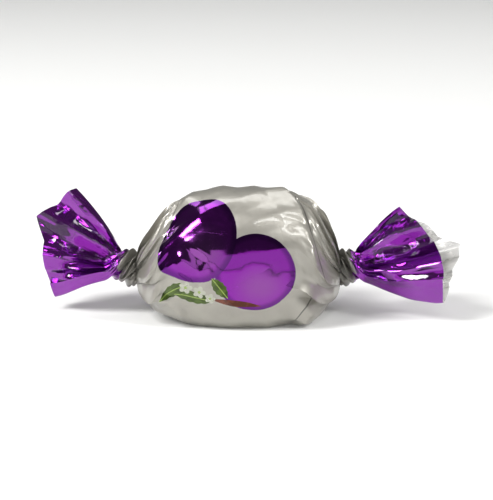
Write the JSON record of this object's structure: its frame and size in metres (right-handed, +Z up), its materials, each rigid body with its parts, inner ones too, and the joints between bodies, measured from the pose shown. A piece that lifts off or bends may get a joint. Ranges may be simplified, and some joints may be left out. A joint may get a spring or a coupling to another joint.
{
  "type": "wrapped caramel candy",
  "caption": "Domed wrapped sweet on a flat base: metallised film twisted shut at both ends, each twist opening into a pleated fan.",
  "frame": {"origin": "middle of the flat base, under the middle of the sweet", "axes": "+X along the sweet from the left twist to the right twist, +Y from the front to the back, +Z up from the base"},
  "size_m": [0.0767, 0.0262, 0.0229],
  "materials": {
    "pearl_film": "satin metallised film, pearl white over the sweet and mirror purple at both ends"
  },
  "bodies": {
    "root": {"wrapper": "pearl_film"}
  },
  "joints": []
}
